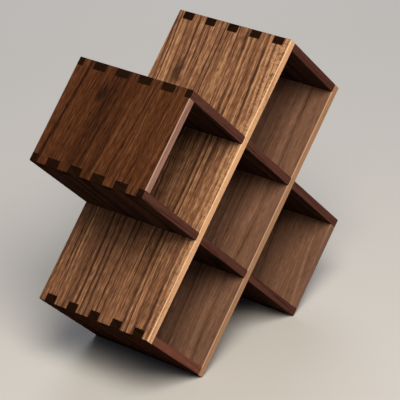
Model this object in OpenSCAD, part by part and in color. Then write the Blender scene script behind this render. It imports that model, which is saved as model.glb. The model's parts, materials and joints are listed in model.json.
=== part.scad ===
// Five-cell wine rack in solid wood.
// Four long boards cross each other in half laps and make a plus of five square cells.
// A short end board, finger-jointed to the long ones, closes each of the four arms.
// The plus stands turned by 45 degrees, on the lowest corner of its two lower arms,
// so that every cell is a diamond and a bottle lies in the V of its two lower boards.
// X points to the right, Y to the back and Z up; the origin is under the middle of the rack.

/* [Cells] */
// Clear width of every cell, between two parallel long boards
cell_width = 88; // [70:0.5:120]
// Clear length of the cell in each arm, from the crossing board to the end board
arm_length = 90.5; // [70:0.5:140]
// Depth of the rack from front to back, which is the width of every board
depth = 130; // [100:1:220]

/* [Boards] */
// Thickness of every board
board_thickness = 8; // [6:0.5:14]
// Leg of the 45 degree flat that eases each outside edge
arris = 0.6; // [0.2:0.1:1.5]

/* [Finger joints] */
// Number of fingers on each end of an end board
finger_count = 5; // [3:1:8]
// Width of one finger of an end board
finger_width = 11.5; // [6:0.1:14]

/* [Fit] */
// Glue clearance on each side of a finger and of a half lap
glue_gap = 0.05; // [0.02:0.01:0.2]

/* [Hidden] */

// Half the distance between the outer faces of two parallel long boards
half_across = cell_width / 2 + board_thickness;
// Half the length of a long board
half_span = half_across + arm_length + board_thickness;
// Distance from the middle of the rack to the middle of a long board's thickness
board_offset = cell_width / 2 + board_thickness / 2;
// Distance from the middle of one finger to the middle of the next
finger_pitch = depth / finger_count;
// Turn of the plus about the front-to-back axis
stance_angle = 45;
// Height of the middle of the rack above the eased corners that it stands on
middle_height = (half_span + half_across - arris) / sqrt(2);
// How far a cutter runs past the face that it opens
past = 1;

// Sides of the rack that a half lap can open to
front = -1;
back = 1;

// Plank along X, its faces up and down and its four long edges eased
module plank(length) {
    edge = depth / 2;
    face = board_thickness / 2;
    rotate([90, 0, 90])
        linear_extrude(length, center = true)
            polygon([
                [edge - arris, face], [arris - edge, face],
                [-edge, face - arris], [-edge, arris - face],
                [arris - edge, -face], [edge - arris, -face],
                [edge, arris - face], [edge, face - arris]
            ]);
}

// Square bar along Y whose diagonal planes cut the 45 degree flat from the edge that it is centred on
module edge_cutter(length) {
    rotate([0, 45, 0])
        cube([arris * sqrt(2), length, arris * sqrt(2)], center = true);
}

// Block that opens one end of a plank: it starts one board thickness before the end
module end_cutter(end, plank_half, y, width) {
    translate([end * (plank_half + (past - board_thickness) / 2), y, 0])
        cube([board_thickness + past, width, board_thickness + 2 * past], center = true);
}

// Long board above the middle of the rack, its outer face up and its laps open to lap_side
module long_board(lap_side) {
    translate([0, 0, board_offset])
        difference() {
            plank(2 * half_span);
            for (end = [-1, 1]) {
                // Slots that the fingers of the end board fill
                for (finger = [0 : finger_count - 1])
                    end_cutter(end, half_span, (finger + 0.5) * finger_pitch - depth / 2,
                        finger_width + 2 * glue_gap);
                // Half lap for the board that crosses this one
                translate([end * board_offset, lap_side * (depth / 2 + past) / 2, 0])
                    cube([board_thickness + 2 * glue_gap, depth / 2 + past, board_thickness + 2 * past],
                        center = true);
                // Eased outer corner of the arm
                translate([end * half_span, 0, board_thickness / 2])
                    edge_cutter(depth + 2 * past);
                // Eased front and back edges of the board's end
                for (side = [front, back])
                    translate([end * half_span, side * depth / 2, 0])
                        rotate([90, 0, 0])
                            edge_cutter(board_thickness + 2 * past);
            }
        }
}

// End board that closes the arm above the middle of the rack, its outer face up
module end_board() {
    translate([0, 0, half_span - board_thickness / 2])
        difference() {
            plank(2 * half_across);
            for (end = [-1, 1]) {
                // Gaps beside the fingers, which the ends of the long boards fill
                for (gap = [0 : finger_count])
                    end_cutter(end, half_across, gap * finger_pitch - depth / 2,
                        finger_pitch - finger_width);
                // Eased outer corner of the arm
                translate([end * half_across, 0, board_thickness / 2])
                    edge_cutter(depth + 2 * past);
            }
        }
}

// Puts a board that was made above the middle into its place: turned about the
// front-to-back axis, and lifted until the rack stands on the ground
module placed(turn) {
    translate([0, 0, middle_height])
        rotate([0, turn - stance_angle, 0])
            children();
}

module rising_board_upper() {
    color("#A5724A") placed(0) long_board(back);
}

module rising_board_lower() {
    color("#8A6045") placed(180) long_board(back);
}

module falling_board_upper() {
    color("#6B4029") placed(90) long_board(front);
}

module falling_board_lower() {
    color("#643B27") placed(270) long_board(front);
}

module upper_left_end_board() {
    color("#6E4126") placed(0) end_board();
}

module upper_right_end_board() {
    color("#664230") placed(90) end_board();
}

module lower_right_end_board() {
    color("#80563B") placed(180) end_board();
}

module lower_left_end_board() {
    color("#7A4A34") placed(270) end_board();
}

rising_board_upper();
rising_board_lower();
falling_board_upper();
falling_board_lower();
upper_left_end_board();
upper_right_end_board();
lower_left_end_board();
lower_right_end_board();
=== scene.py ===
"""Looks of a five-cell wine rack in solid walnut, oiled to a satin sheen.

Each board is made again with rounded edges in the place of its CAD node, and gets its own cut
of walnut. The grain is worked out through the whole thickness of the board, so streaks run on
round every edge and turn into end grain on the finger tips.
Lengths are in metres and angles in degrees, in the frame of the CAD model.
"""
import json
import math

import bpy
import numpy as np
from mathutils import Matrix, Vector


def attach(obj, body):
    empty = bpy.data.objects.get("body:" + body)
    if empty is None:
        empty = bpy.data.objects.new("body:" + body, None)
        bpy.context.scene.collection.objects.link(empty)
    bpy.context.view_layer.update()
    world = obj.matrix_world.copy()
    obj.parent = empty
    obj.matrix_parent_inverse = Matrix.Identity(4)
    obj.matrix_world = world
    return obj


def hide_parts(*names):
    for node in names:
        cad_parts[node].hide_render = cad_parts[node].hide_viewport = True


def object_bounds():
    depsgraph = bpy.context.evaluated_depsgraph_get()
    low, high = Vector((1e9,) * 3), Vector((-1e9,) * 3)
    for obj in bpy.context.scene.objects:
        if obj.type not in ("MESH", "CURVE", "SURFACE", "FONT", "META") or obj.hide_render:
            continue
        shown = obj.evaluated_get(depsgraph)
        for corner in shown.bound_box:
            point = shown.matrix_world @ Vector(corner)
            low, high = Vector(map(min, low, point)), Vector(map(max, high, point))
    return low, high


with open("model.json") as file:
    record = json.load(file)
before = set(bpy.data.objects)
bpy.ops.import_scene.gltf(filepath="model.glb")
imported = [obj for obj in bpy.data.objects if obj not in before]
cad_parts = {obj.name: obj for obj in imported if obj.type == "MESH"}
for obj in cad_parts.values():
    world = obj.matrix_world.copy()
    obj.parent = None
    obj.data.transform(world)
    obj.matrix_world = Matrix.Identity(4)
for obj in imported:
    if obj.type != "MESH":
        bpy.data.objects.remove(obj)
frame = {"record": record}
cad_low, cad_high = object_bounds()

# ---------------------------------------------------------------- sizes

MM = 0.001
PER_METRE = 1000  # millimetres in a metre
BOARD = 8 * MM  # thickness of every board
FLAT = 0.6 * MM  # leg of the CAD's 45 degree flat along each outside edge
FINGERS = 5  # fingers on each end of an end board
FINGER = 11.5 * MM  # width of one finger
GLUE_GAP = 0.05 * MM  # clearance on each side of a finger and of a half lap
STANCE = 45  # turn of the plus about the front-to-back axis

# A round of this radius just touches the CAD's flat, so the rack stands at the same height.
EASE = FLAT / (2 - math.sqrt(2))
EASE_STEPS = 4
NEAR = 0.01 * MM  # two places closer than this are the same

low, high = np.array(cad_low), np.array(cad_high)
middle = (low + high) / 2
depth = high[1] - low[1]
rests = {m["name"]: m["pos_m"] for m in frame["record"]["mounts"]}
# The box gives the sum of a long board's half length and the half width of an arm,
# and the place of the corner that the rack rests on gives their difference.
reach_sum = (high[0] - low[0]) / math.sqrt(2) + FLAT
reach_difference = math.sqrt(2) * rests["right_rest_corner"][0]
half_span = (reach_sum + reach_difference) / 2
half_across = (reach_sum - reach_difference) / 2
board_offset = half_across - BOARD / 2
end_offset = half_span - BOARD / 2
pitch = depth / FINGERS

# ---------------------------------------------------------------- boards


def finger_sides(width):
    """Both sides of each finger across the depth: the middle of the k-th pitch, less and plus
    half the width."""
    centres = (np.arange(FINGERS) + 0.5) * pitch - depth / 2
    return np.stack([centres - width / 2, centres + width / 2], axis=1)


def within(places, ranges):
    """True for each place that lies in one of the (low, high) ranges."""
    return np.any((places[:, None] > ranges[:, 0]) & (places[:, None] < ranges[:, 1]), axis=1)


def long_board_cells(lap_side):
    """Grid lines of a long board and which of their cells hold wood: all but the slots for the
    fingers, one board thickness deep in each end, and the two laps, half the depth deep."""
    slots = finger_sides(FINGER + 2 * GLUE_GAP)
    lap = np.array([-1, 1]) * (BOARD / 2 + GLUE_GAP)
    laps = np.stack([lap - board_offset, lap + board_offset])
    shoulder = half_span - BOARD
    along = np.sort(np.concatenate([[-half_span, -shoulder, shoulder, half_span], laps.ravel()]))
    across = np.sort(np.concatenate([[-depth / 2, 0, depth / 2], slots.ravel()]))
    s, y = (along[1:] + along[:-1]) / 2, (across[1:] + across[:-1]) / 2
    slotted = (np.abs(s) > shoulder)[:, None] & within(y, slots)[None, :]
    lapped = within(s, laps)[:, None] & (lap_side * y > 0)[None, :]
    return along, across, ~(slotted | lapped)


def end_board_cells():
    """Grid lines of an end board and which of their cells hold wood: the middle over its whole
    depth, and the fingers, one board thickness long, at each end."""
    fingers = finger_sides(FINGER)
    shoulder = half_across - BOARD
    along = np.array([-half_across, -shoulder, shoulder, half_across])
    across = np.sort(np.concatenate([[-depth / 2, depth / 2], fingers.ravel()]))
    s, y = (along[1:] + along[:-1]) / 2, (across[1:] + across[:-1]) / 2
    return along, across, (np.abs(s) < shoulder)[:, None] | within(y, fingers)[None, :]


def board_shell(along, across, wood):
    """Closed surface of a flat board. Over the grid of lines along and across it, each cell that
    holds wood gives a square of the lower and of the upper face, and each side between a cell
    with wood and one without gives a wall as high as the board is thick."""
    columns, rows = len(along), len(across)
    s, y, z = np.meshgrid(along, across, [-BOARD / 2, BOARD / 2], indexing="ij")
    points = np.stack([s, y, z], axis=-1).reshape(-1, 3)
    number = np.arange(len(points)).reshape(columns, rows, 2)

    def squares(*corners):
        """One square for each row of the corners' point numbers."""
        return np.stack(corners, axis=1)

    i, j = np.nonzero(wood)
    near, far = number[i, j], number[i + 1, j]
    near_next, far_next = number[i, j + 1], number[i + 1, j + 1]
    faces = [
        squares(near[:, 1], far[:, 1], far_next[:, 1], near_next[:, 1]),
        squares(near[:, 0], near_next[:, 0], far_next[:, 0], far[:, 0]),
    ]
    padded = np.pad(wood, 1).astype(int)
    step_s = np.diff(padded, axis=0)[:, 1:-1]
    step_y = np.diff(padded, axis=1)[1:-1, :]
    # Where wood starts the wall faces back along the axis, and where it ends the wall is turned over
    for step, order in ((1, slice(None)), (-1, slice(None, None, -1))):
        i, j = np.nonzero(step_s == step)
        near, near_next = number[i, j], number[i, j + 1]
        faces.append(squares(near[:, 0], near[:, 1], near_next[:, 1], near_next[:, 0])[:, order])
        i, j = np.nonzero(step_y == step)
        near, far = number[i, j], number[i + 1, j]
        faces.append(squares(near[:, 0], far[:, 0], far[:, 1], near[:, 1])[:, order])
    faces = np.concatenate(faces)
    used, renumbered = np.unique(faces, return_inverse=True)
    return points[used], renumbered.reshape(faces.shape)


def eased_edges(points, ends, half_length):
    """Share of the full rounding that each edge gets, 1 or 0: the long edges on the front and the
    back of the board, the outer edge across its ends, and a long board's upright end edges."""
    start, end = points[ends[:, 0]], points[ends[:, 1]]

    def both_at(axis, place):
        """True for each edge whose two ends lie that far from the middle along the axis."""
        return np.all(np.abs(np.abs([start[:, axis], end[:, axis]]) - place) < NEAR, axis=0)

    side, tip = both_at(1, depth / 2), both_at(0, half_length)
    upright = np.abs(start[:, 2] - end[:, 2]) > NEAR
    outer = (start[:, 2] > 0) & (end[:, 2] > 0)
    return np.where(upright, side & tip, side | (tip & outer)).astype(np.float32)


def make_board(node, cells, half_length, turn, offset):
    """A board made flat around the middle, moved out by its offset, turned about the
    front-to-back axis and lifted to the middle of the rack."""
    points, faces = board_shell(*cells)
    mesh = bpy.data.meshes.new(node + "_walnut")
    mesh.from_pydata(points, [], faces.tolist())
    ends = np.empty(2 * len(mesh.edges), np.int32)
    mesh.edges.foreach_get("vertices", ends)
    eased = eased_edges(points, ends.reshape(-1, 2), half_length)
    mesh.attributes.new("bevel_weight_edge", "FLOAT", "EDGE").data.foreach_set("value", eased)
    mesh.attributes.new("sharp_edge", "BOOLEAN", "EDGE").data.foreach_set("value", eased == 0)
    turned = np.array(Matrix.Rotation(math.radians(turn - STANCE), 3, "Y"))
    placed = (points + [0, 0, offset]) @ turned.T + middle
    mesh.vertices.foreach_set("co", placed.astype(np.float32).ravel())
    mesh.update()
    piece = bpy.data.objects.new(node + "_walnut", mesh)
    bpy.context.scene.collection.objects.link(piece)
    ease = piece.modifiers.new("eased edges", "BEVEL")
    ease.limit_method = "WEIGHT"
    ease.width = EASE
    ease.segments = EASE_STEPS
    ease.use_clamp_overlap = False
    ease.harden_normals = True
    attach(piece, "root")
    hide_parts(node)
    return piece


# ---------------------------------------------------------------- materials


# Patterns in the wood. Each has its sizes in millimetres along, across and through the board, the
# number of finer layers in it, and a number that sets it apart from the others.
RING_SWEEP = ((160, 45, 45), 0.0, 1)
RING_WAVE = ((40, 12, 12), 2.0, 2)
RING_RIPPLE = ((12, 4, 4), 1.0, 10)
LINE_PATCHES = ((80, 22, 22), 1.0, 3)
WIDE_STREAKS = ((85, 9, 9), 2.0, 7)
CROSS_FIGURE = ((4, 14, 14), 1.0, 8)
BAND_FIGURE = ((1.6, 5, 5), 1.0, 9)
SMUDGE_OUTLINE = ((10, 3, 3), 1.0, 11)
# Fibres, flecks and pores are really 0.2 to 0.4 mm wide, and are drawn at about 1 mm so that they show.
FIBRES = ((45, 1.1, 1.1), 2.0, 4)
FLECKS = ((9, 1.0, 1.0), 1.0, 5)
PORES = ((9, 0.8, 0.8), 0.0, 6)
# Patterns that follow the growth rings: their width in millimetres, finer layers and own number.
YEAR_WIDTHS = (20, 1.0, 3)
LINE_STRENGTHS = (9, 1.0, 4)
BROAD_STRIPES = (7, 2.0, 5)
NARROW_STRIPES = (2.2, 1.0, 12)

# How far, in millimetres, the first three patterns move the growth rings
SWEEP_MM = 10.0
WAVE_MM = 2.0
RIPPLE_MM = 0.7
# How many years narrow and wide growth puts a ring ahead or behind
YEAR_SPREAD = 2.5
# Parts of a year's growth over which its wood darkens, and over which the dark line ends
YEAR_DARKENS = (0.5, 0.88)
YEAR_ENDS = (0.88, 1.0)
# How clear the lines are where they show least and most, over the range that noise mostly has
LINE_CLEARNESS = (0.1, 0.75)
MOST_NOISE = (0.35, 0.65)
# Half sizes from the middle of a smudge to where it starts to fade
SMUDGE_CORE = 0.2
# Noise over which a pore starts and is fully open, and how much darker it is
PORE_RIM = (0.60, 0.74)
PORE_DARKNESS = 0.3
# Tones that the four colours of the face stand at
FACE_TONES = (0.08, 0.36, 0.64, 0.98)
# Height of the raised grain, and how strongly it is felt under the oil
RELIEF = 0.08 * MM
RELIEF_STRENGTH = 0.35

# How squarely the surface faces along or across the board, from 0 to 1, where each kind of surface
# starts and where it is complete
END_GRAIN = (0.45, 0.85)
LONG_EDGE = (0.45, 0.95)
ROUND_STARTS = (0.1, 0.3)
ROUND_ENDS = (0.9, 1.0)

# Roughness of planed and sanded wood, its open pores, its end grain, an edge rubbed by hands, and oil
SATIN = 0.48
OPEN_PORE = 0.65
DULL = 0.95
RUBBED = 0.25
OIL_FILM = 0.45
# Share of the oil film that is left over an open pore
FILM_OVER_PORE = 0.6

SMOOTH = {"interpolation_type": "SMOOTHSTEP"}
COLOUR = {"data_type": "RGBA"}


def linear(colour):
    """Linear RGBA from an sRGB hex colour such as "#A57248": each part over 255, then divided by
    12.92 in the deepest shades and otherwise put through the sRGB power curve."""
    parts = np.array([int(colour[k:k + 2], 16) for k in (1, 3, 5)]) / 255
    parts = np.where(parts <= 0.04045, parts / 12.92, ((parts + 0.055) / 1.055) ** 2.4)
    return (*parts.tolist(), 1.0)


def add(tree, kind, settings=None, inputs=None):
    """Adds one node with its settings, and sets each input to a value or links it to a socket."""
    made = tree.nodes.new(kind)
    for name, value in (settings or {}).items():
        setattr(made, name, value)
    for name, value in (inputs or {}).items():
        if isinstance(value, bpy.types.NodeSocket):
            tree.links.new(value, made.inputs[name])
        else:
            made.inputs[name].default_value = value
    return made


def total(tree, start, parts, noises=()):
    """Start plus each part times its amount, plus each noise, which varies around one half, less
    that half and times its amount."""
    result = -0.5 * sum(amount for noise, amount in noises)
    for part, amount in ((start, 1.0), *parts, *noises):
        result = add(tree, "ShaderNodeMath", {"operation": "MULTIPLY_ADD"}, {
            0: part, 1: amount, 2: result}).outputs[0]
    return result


def cloud(tree, board, seed, sizes, detail, number):
    """Noise at the place in the board divided by the sizes, so that its features are that large
    along, across and through the board. The seed and the number set each board and pattern apart."""
    scaled = add(tree, "ShaderNodeVectorMath", {"operation": "DIVIDE"}, {0: board, 1: sizes})
    return add(tree, "ShaderNodeTexNoise", {"noise_dimensions": "4D"}, {
        "Vector": scaled.outputs[0], "W": 10 * seed + number, "Scale": 1.0, "Detail": detail,
        "Roughness": 0.55}).outputs[0]


def stripes(tree, ring, seed, width, detail, number):
    """Noise at the distance from the heart divided by the width: stripes that follow the rings."""
    scaled = total(tree, 100 * seed + 10 * number, ((ring, 1 / width),))
    return add(tree, "ShaderNodeTexNoise", {"noise_dimensions": "1D"}, {
        "W": scaled, "Scale": 1.0, "Detail": detail, "Roughness": 0.6}).outputs[0]


def board_axes(tree, turn, offset):
    """Place in the board in millimetres, and its outward direction: both turned back about the
    front-to-back axis, so that X runs along the grain, Y across the board and Z out through its
    face. The direction keeps only the size of each part, so 1 is square to that axis."""
    back_turn = math.radians(STANCE - turn)
    home = Matrix.Rotation(back_turn, 3, "Y") @ Vector(middle) + Vector((0, 0, offset))
    coordinates = add(tree, "ShaderNodeTexCoord")
    board = add(tree, "ShaderNodeMapping", None, {
        "Vector": coordinates.outputs["Object"], "Location": -PER_METRE * home,
        "Rotation": (0, back_turn, 0), "Scale": (PER_METRE, PER_METRE, PER_METRE)})
    facing = add(tree, "ShaderNodeMapping", {"vector_type": "NORMAL"}, {
        "Vector": coordinates.outputs["Normal"], "Rotation": (0, back_turn, 0)})
    facing = add(tree, "ShaderNodeVectorMath", {"operation": "ABSOLUTE"}, {0: facing.outputs[0]})
    return board.outputs[0], add(tree, "ShaderNodeSeparateXYZ", None, {0: facing.outputs[0]}).outputs


def growth_rings(tree, board, along, look):
    """Distance from the heart of the tree, in millimetres across the grain, plus the lean times the
    place along the board, plus the bend times its square, plus three wandering noises."""
    heart = Vector((0, *look["heart"]))
    away = add(tree, "ShaderNodeVectorMath", {"operation": "SUBTRACT"}, {0: board, 1: heart})
    away = add(tree, "ShaderNodeVectorMath", {"operation": "MULTIPLY"}, {0: away.outputs[0], 1: (0, 1, 1)})
    distance = add(tree, "ShaderNodeVectorMath", {"operation": "LENGTH"}, {0: away.outputs[0]})
    square = add(tree, "ShaderNodeMath", {"operation": "MULTIPLY"}, {0: along, 1: along})
    seed = look["seed"]
    return total(
        tree, distance.outputs["Value"], ((along, look["lean"]), (square.outputs[0], look["bend"])),
        ((cloud(tree, board, seed, *RING_SWEEP), SWEEP_MM), (cloud(tree, board, seed, *RING_WAVE), WAVE_MM),
         (cloud(tree, board, seed, *RING_RIPPLE), RIPPLE_MM)))


def latewood_lines(tree, board, ring, look):
    """Share of the dark line that ends each year's growth: it rises slowly from halfway through
    the year, ends sharply, and is stronger and clearer in some years and places than in others."""
    seed = look["seed"]
    spread = stripes(tree, ring, seed, *YEAR_WIDTHS)
    years = total(tree, 0.0, ((ring, 1 / look["ring_mm"]), (spread, YEAR_SPREAD)))
    year = add(tree, "ShaderNodeMath", {"operation": "FRACT"}, {0: years}).outputs[0]
    darkening = add(tree, "ShaderNodeMapRange", SMOOTH, {
        "Value": year, "From Min": YEAR_DARKENS[0], "From Max": YEAR_DARKENS[1]})
    ended = add(tree, "ShaderNodeMapRange", SMOOTH, {
        "Value": year, "From Min": YEAR_ENDS[0], "From Max": YEAR_ENDS[1]})
    line = add(tree, "ShaderNodeMath", {"operation": "SUBTRACT"}, {
        0: darkening.outputs[0], 1: ended.outputs[0]})
    clearness = add(tree, "ShaderNodeMapRange", None, {
        "Value": cloud(tree, board, seed, *LINE_PATCHES),
        "From Min": MOST_NOISE[0], "From Max": MOST_NOISE[1],
        "To Min": LINE_CLEARNESS[0], "To Max": LINE_CLEARNESS[1]})
    strength = add(tree, "ShaderNodeMath", {"operation": "MULTIPLY"}, {
        0: stripes(tree, ring, seed, *LINE_STRENGTHS), 1: clearness.outputs[0]})
    return add(tree, "ShaderNodeMath", {"operation": "MULTIPLY"}, {
        0: line.outputs[0], 1: strength.outputs[0]}).outputs[0]


def smudged(tree, board, tone, look):
    """Tone plus, for each smudge, its amount times a soft patch: full around the middle and gone
    one half size away from it, with an outline that noise makes uneven."""
    for centre, half_size, amount in look["smudges"]:
        aside = add(tree, "ShaderNodeVectorMath", {"operation": "SUBTRACT"}, {0: board, 1: centre})
        aside = add(tree, "ShaderNodeVectorMath", {"operation": "DIVIDE"}, {
            0: aside.outputs[0], 1: half_size})
        aside = add(tree, "ShaderNodeVectorMath", {"operation": "LENGTH"}, {0: aside.outputs[0]})
        outline = cloud(tree, board, look["seed"], *SMUDGE_OUTLINE)
        patch = add(tree, "ShaderNodeMapRange", SMOOTH, {
            "Value": total(tree, aside.outputs["Value"], (), ((outline, 1.0),)),
            "From Min": 1.0, "From Max": SMUDGE_CORE})
        tone = total(tree, tone, ((patch.outputs[0], amount),))
    return tone


def banded(tree, board, ring, tone, look):
    """Tone plus, for each band of lighter or darker heartwood, a soft stripe along the rings times
    its amount, which the cross figure raises and lowers along the band. The light band along the
    front of the upper rising board is partly its wood and partly a painted sheen of that figure."""
    heart_mm = Vector(look["heart"]).length
    for middle_mm, half_mm, amount, figured in look["bands"]:
        aside = add(tree, "ShaderNodeMath", {"operation": "SUBTRACT"}, {0: ring, 1: heart_mm + middle_mm})
        aside = add(tree, "ShaderNodeMath", {"operation": "ABSOLUTE"}, {0: aside.outputs[0]})
        band = add(tree, "ShaderNodeMapRange", SMOOTH, {
            "Value": aside.outputs[0], "From Min": half_mm, "From Max": 0.0})
        if figured:
            figure = cloud(tree, board, look["seed"], *BAND_FIGURE)
            amount = total(tree, amount, (), ((figure, figured),))
        tone = total(tree, tone, ((band.outputs[0], amount),))
    return tone


def walnut_colour(tree, tone, through, long_edge, end_grain, look):
    """Colour of the face from four colours along the tone, which changes out through the board as
    painted shade, darker on the face that looks down and to the left and lighter on the one that
    looks up and to the right; over it, where the masks say, that of the sawn long edges and then
    of the end grain, each from two colours along the tone."""
    # Painted shade: the face tone darkens towards the face that looks down and to the left
    face_tone = total(tree, tone, ((through, look["through"]),)) if look["through"] else tone
    face = add(tree, "ShaderNodeValToRGB", None, {0: face_tone})
    stops = face.color_ramp.elements
    stops[0].position, stops[0].color = FACE_TONES[0], linear(look["face"][0])
    stops[1].position, stops[1].color = FACE_TONES[3], linear(look["face"][3])
    for position, colour in zip(FACE_TONES[1:3], look["face"][1:3]):
        stops.new(position).color = linear(colour)
    wood = face.outputs[0]
    for mask, (deep, pale) in ((long_edge, look["edge"]), (end_grain, look["end"])):
        cut = add(tree, "ShaderNodeMix", COLOUR, {0: tone, 6: linear(deep), 7: linear(pale)})
        wood = add(tree, "ShaderNodeMix", COLOUR, {0: mask, 6: wood, 7: cut.outputs[2]}).outputs[2]
    return wood


def arris_highlight_band(tree, across):
    """Share of an eased front or back edge: where the rounding has started, less where it has
    ended in the flat of the edge."""
    started = add(tree, "ShaderNodeMapRange", SMOOTH, {
        "Value": across, "From Min": ROUND_STARTS[0], "From Max": ROUND_STARTS[1]})
    ended = add(tree, "ShaderNodeMapRange", SMOOTH, {
        "Value": across, "From Min": ROUND_ENDS[0], "From Max": ROUND_ENDS[1]})
    return add(tree, "ShaderNodeMath", {"operation": "SUBTRACT", "use_clamp": True}, {
        0: started.outputs[0], 1: ended.outputs[0]}).outputs[0]


def walnut(name, turn, offset, look):
    """Solid black walnut, planed, sanded and oiled: satin, brown heartwood with a dark line at the
    end of each year's growth, fine streaks and short open pores along the grain, sawn edges in
    their own tone, on some boards partly a painted sheen, and end grain that the oil turns nearly black."""
    material = bpy.data.materials.new(name)
    material.use_nodes = True
    tree = material.node_tree
    shader = tree.nodes["Principled BSDF"]
    seed = look["seed"]
    board, facing = board_axes(tree, turn, offset)
    place = add(tree, "ShaderNodeSeparateXYZ", None, {0: board}).outputs
    ring = growth_rings(tree, board, place["X"], look)
    latewood = latewood_lines(tree, board, ring, look)
    fibres = cloud(tree, board, seed, *FIBRES)
    pores = add(tree, "ShaderNodeMapRange", SMOOTH, {
        "Value": cloud(tree, board, seed, *PORES),
        "From Min": PORE_RIM[0], "From Max": PORE_RIM[1]}).outputs[0]
    figure = total(tree, 0.0, ((latewood, -look["lines"]), (pores, -PORE_DARKNESS)), (
        (stripes(tree, ring, seed, *BROAD_STRIPES), 0.6), (stripes(tree, ring, seed, *NARROW_STRIPES), 0.7),
        (fibres, 0.8 * look["fuzz"]), (cloud(tree, board, seed, *FLECKS), look["fuzz"]),
        (cloud(tree, board, seed, *WIDE_STREAKS), 0.6), (cloud(tree, board, seed, *CROSS_FIGURE), 0.2)))
    tone = total(tree, look["tone"], ((figure, look["contrast"]),))
    # Painted shade: darker towards one end of the board
    if look["fade"]:
        from_mm, to_mm, amount = look["fade"]
        fade = add(tree, "ShaderNodeMapRange", SMOOTH, {
            "Value": place["X"], "From Min": from_mm, "From Max": to_mm})
        tone = total(tree, tone, ((fade.outputs[0], amount),))
    tone = banded(tree, board, ring, smudged(tree, board, tone, look), look)
    long_edge = add(tree, "ShaderNodeMapRange", SMOOTH, {
        "Value": facing["Y"], "From Min": LONG_EDGE[0], "From Max": LONG_EDGE[1]}).outputs[0]
    end_grain = add(tree, "ShaderNodeMapRange", SMOOTH, {
        "Value": facing["X"], "From Min": END_GRAIN[0], "From Max": END_GRAIN[1]}).outputs[0]
    wood = walnut_colour(tree, tone, place["Z"], long_edge, end_grain, look)
    # Satin faces, rougher in the open pores; the oil sinks into the end grain and leaves it dull
    satin = add(tree, "ShaderNodeMapRange", None, {"Value": pores, "To Min": SATIN, "To Max": OPEN_PORE})
    roughness = add(tree, "ShaderNodeMix", None, {0: end_grain, 2: satin.outputs[0], 3: DULL}).outputs[0]
    if look["painted_arris_highlight"]:
        # Handling polishes the eased front and back edges, and a painted highlight makes them paler along
        # the arris
        colour, amount = look["painted_arris_highlight"]
        highlight_band = arris_highlight_band(tree, facing["Y"])
        wood = add(tree, "ShaderNodeMix", COLOUR, {
            0: total(tree, 0.0, ((highlight_band, amount),)), 6: wood, 7: linear(colour)}).outputs[2]
        roughness = add(tree, "ShaderNodeMix", None, {0: highlight_band, 2: roughness, 3: RUBBED}).outputs[0]
    tree.links.new(wood, shader.inputs["Base Color"])
    tree.links.new(roughness, shader.inputs["Roughness"])
    # All the shine comes from the oil: a thin film on the face grain, broken by the pores and sunk
    # into the end grain. The wood under it is dull.
    shader.inputs["Specular IOR Level"].default_value = 0.0
    if look["oil"]:
        film = add(tree, "ShaderNodeMapRange", None, {
            "Value": end_grain, "To Min": look["oil"], "To Max": 0.0})
        whole = add(tree, "ShaderNodeMapRange", None, {
            "Value": pores, "To Min": 1.0, "To Max": FILM_OVER_PORE})
        film = add(tree, "ShaderNodeMath", {"operation": "MULTIPLY"}, {
            0: film.outputs[0], 1: whole.outputs[0]})
        tree.links.new(film.outputs[0], shader.inputs["Coat Weight"])
        shader.inputs["Coat Roughness"].default_value = OIL_FILM
    # Raised fibres and sunk pores catch the light along the grain
    relief = add(tree, "ShaderNodeMath", {"operation": "SUBTRACT"}, {0: fibres, 1: pores})
    bump = add(tree, "ShaderNodeBump", None, {
        "Strength": RELIEF_STRENGTH, "Distance": RELIEF, "Height": relief.outputs[0]})
    tree.links.new(bump.outputs[0], shader.inputs["Normal"])
    return material


# Colours of the face grain from the darkest streak to the lightest, and of edges and end grain
GOLDEN = ("#442C20", "#65442F", "#835A3F", "#B88C65")
BROWN = ("#412B20", "#624535", "#7C5A46", "#A37D67")
RED = ("#24120A", "#41230F", "#54301A", "#744A2F")
# The red with its darker colours deepened: painted shade for the lower-left end board, whose outer face
# looks down towards the floor
PAINTED_SHADE_RED = ("#1C0F0A", "#2D1911", "#43281B", "#744A2F")
DARK = ("#1A110C", "#2B1A13", "#3C261D", "#7E5643")
DARK_EDGE = ("#3A1F18", "#684339")
DARK_END = ("#120A05", "#28170D")

# Side that the half laps of a long board open to
FRONT = -1
BACK = 1

# What a board has unless its own entry says otherwise. Lengths are in millimetres in the board's
# own axes from its middle, and a tone is 0 in the darkest wood and 1 in the lightest.
PLAIN = {
    "laps": 0,  # end boards have none
    "lean": 0.02,  # how far the rings move for each millimetre along the board
    "bend": 0.0,  # and for each square millimetre
    "ring_mm": 8,  # width of one year's growth
    "lines": 2.2,  # how dark the line is that ends each year
    "fuzz": 1.2,  # strength of the fibres and flecks
    "contrast": 0.5,  # strength of the whole figure
    "tone": 0.66,  # tone of the board without its figure
    "fade": (),  # where along the board its tone starts and stops changing, and by how much: painted shade, used on the lower end of the upper rising board
    "bands": (),  # middle and half width along the rings, change of tone, strength of cross figure
    "smudges": (),  # middle, half sizes and change of tone
    "through": 0.0,  # change of tone for each millimetre out through the face: painted shade, darker on the face that looks down and to the left
    "oil": 0.0,  # strength of the oil film; the darkest boards soak it all up and look dull
    "painted_arris_highlight": (),  # colour of the painted highlight along the eased edges, and how much of it shows
    "face": DARK,
    "edge": DARK_EDGE,
    "end": DARK_END,
}

# Pale edges of the rising boards and of the upper-left and lower-right end boards: partly their wood,
# partly a painted sheen of fibres that catch the key light along their grain
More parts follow.
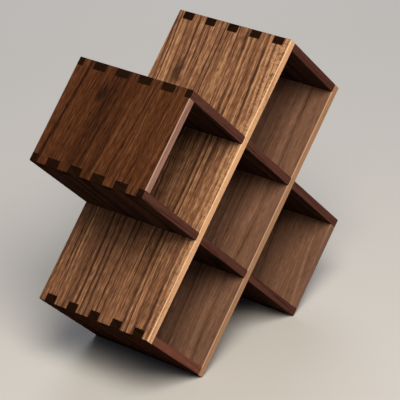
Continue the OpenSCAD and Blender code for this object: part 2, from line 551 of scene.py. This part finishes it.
BOARDS = {
    "rising_board_upper": {
        "turn": 0, "laps": BACK, "slot": "walnut_golden", "seed": 1, "heart": (-170, -70),
        # Its fade darkens its lower end as painted shade
        "lean": -0.045, "bend": -0.000125, "ring_mm": 6.5, "contrast": 0.85, "fade": (-20, -60, -0.08),
        # Its light band along the front edge is partly its wood and partly a painted sheen of the cross
        # figure
        "bands": ((-62, 21, 0.42, 1.3),), "smudges": (((92, 36, 4), (17, 7, 20), -0.5),),
        # The pale colour on its eased edges is a painted highlight
        "oil": 0.3, "painted_arris_highlight": ("#F6D2AC", 0.5), "face": GOLDEN, "edge": ("#A8724E", "#E4B084")},
    "rising_board_lower": {
        "turn": 180, "laps": BACK, "slot": "walnut_brown", "seed": 2, "heart": (-140, -110),
        "ring_mm": 9, "lines": 1.6, "contrast": 0.45, "tone": 0.6,
        # The pale colour on its eased edges is a painted highlight
        "oil": 0.3, "painted_arris_highlight": ("#D8B090", 0.4), "face": BROWN, "edge": ("#8C6244", "#C09472")},
    "falling_board_upper": {
        "turn": 90, "laps": FRONT, "slot": "walnut_dark", "seed": 3, "heart": (-80, -90),
        "through": 0.035},
    "falling_board_lower": {
        "turn": 270, "laps": FRONT, "slot": "walnut_dark", "seed": 4, "heart": (-60, -100),
        "ring_mm": 9, "tone": 0.58, "through": -0.04},
    "upper_left_end_board": {
        "turn": 0, "slot": "walnut_red", "seed": 5, "heart": (-190, -60), "lean": 0.07,
        "ring_mm": 6.5, "lines": 1.2, "fuzz": 1.8, "contrast": 0.58, "tone": 0.6,
        "bands": ((13, 24, -0.28, 0), (39, 1.5, -0.25, 0), (52, 2.0, -0.45, 0), (-18, 2.5, -0.25, 0)),
        "smudges": (((26, 25, 4), (14, 7, 20), -0.3),),
        # The pale colour on its eased edges is a painted highlight
        "oil": 0.3, "painted_arris_highlight": ("#C4A294", 0.5), "face": RED, "edge": ("#7C5646", "#AA8274")},
    "upper_right_end_board": {
        "turn": 90, "slot": "walnut_dark", "seed": 6, "heart": (-60, -110), "through": 0.035,
        "edge": ("#341B14", "#5E3B31")},
    "lower_right_end_board": {
        "turn": 180, "slot": "walnut_brown", "seed": 7, "heart": (-90, -70), "lean": 0.04,
        "ring_mm": 9, "lines": 1.6, "contrast": 0.45, "tone": 0.6,
        "oil": 0.2, "face": BROWN, "edge": ("#644434", "#8E6856")},
    "lower_left_end_board": {
        "turn": 270, "slot": "walnut_red", "seed": 8, "heart": (-70, -80), "lean": 0.03,
        "tone": 0.58, "through": -0.045, "face": PAINTED_SHADE_RED, "edge": ("#542F22", "#865545")},
}

for node, own in BOARDS.items():
    look = PLAIN | own
    if look["laps"]:
        cells, half_length, offset = long_board_cells(look["laps"]), half_span, board_offset
    else:
        cells, half_length, offset = end_board_cells(), half_across, end_offset
    piece = make_board(node, cells, half_length, look["turn"], offset)
    piece.data.materials.append(walnut(node + "_oiled_walnut", look["turn"], offset, look))

# ---------------------------------------------------------------- studio


def studio_floor(half_side=4.0):
    """Flat square sheet under the rack, at the height of its lowest corner."""
    corners = np.array([[-1, -1, 0], [1, -1, 0], [1, 1, 0], [-1, 1, 0]]) * half_side
    mesh = bpy.data.meshes.new("studio_floor")
    mesh.from_pydata(corners + [0, 0, low[2]], [], [(0, 1, 2, 3)])
    floor = bpy.data.objects.new("studio_floor", mesh)
    bpy.context.scene.collection.objects.link(floor)
    # Matt paper without any shine, so that the rack stands on an even ground
    paper = bpy.data.materials.new("matt_backdrop_paper")
    paper.use_nodes = True
    shader = paper.node_tree.nodes["Principled BSDF"]
    shader.inputs["Base Color"].default_value = linear("#CBC9C5")
    shader.inputs["Roughness"].default_value = 0.9
    mesh.materials.append(paper)


def direction(azimuth, elevation):
    """Unit vector from the rack towards a place in the studio: azimuth 0 is in front of the rack
    and 90 to its right, elevation is above the horizon."""
    a, e = math.radians(azimuth), math.radians(elevation)
    return Vector((math.sin(a) * math.cos(e), -math.cos(a) * math.cos(e), math.sin(e)))


def softbox(name, azimuth, elevation, distance, side, power, colour):
    """Square lamp with a soft edge that faces the middle of the rack."""
    lamp = bpy.data.lights.new(name, "AREA")
    lamp.shape, lamp.size, lamp.energy = "SQUARE", side, power
    lamp.color = linear(colour)[:3]
    holder = bpy.data.objects.new(name, lamp)
    away = direction(azimuth, elevation)
    holder.location = Vector(middle) + away * distance
    holder.rotation_euler = away.to_track_quat("Z", "Y").to_euler()
    bpy.context.scene.collection.objects.link(holder)


def camera(azimuth, elevation, roll, distance, lens, aim_right, aim_up):
    """Camera that looks at a point beside the middle of the rack, given in its own picture plane."""
    away = direction(azimuth, elevation)
    turn = away.to_track_quat("Z", "Y").to_matrix() @ Matrix.Rotation(math.radians(roll), 3, "Z")
    aim = Vector(middle) + turn @ Vector((aim_right, aim_up, 0))
    data = bpy.data.cameras.new("studio_camera")
    data.lens = lens
    holder = bpy.data.objects.new("studio_camera", data)
    holder.location = aim + away * distance
    holder.rotation_euler = turn.to_euler()
    bpy.context.scene.collection.objects.link(holder)
    bpy.context.scene.camera = holder


def room_light(colour, strength):
    """Even light of one colour from everywhere around the rack, which fills the shadows."""
    room = bpy.data.worlds.new("studio_room")
    room.use_nodes = True
    background = room.node_tree.nodes["Background"]
    background.inputs["Color"].default_value = linear(colour)
    background.inputs["Strength"].default_value = strength
    bpy.context.scene.world = room


studio_floor()
softbox("key_softbox", azimuth=-40, elevation=52, distance=2.0, side=1.1, power=51, colour="#FFF6EA")
softbox("back_softbox", azimuth=130, elevation=32, distance=2.0, side=1.2, power=14, colour="#F2F6FF")
room_light("#CCD6EA", strength=0.11)
bpy.context.scene.view_settings.view_transform = "Standard"
camera(azimuth=-50.35, elevation=26.63, roll=-1.64, distance=1.881, lens=183.3,
       aim_right=8.1 * MM, aim_up=-7.9 * MM)
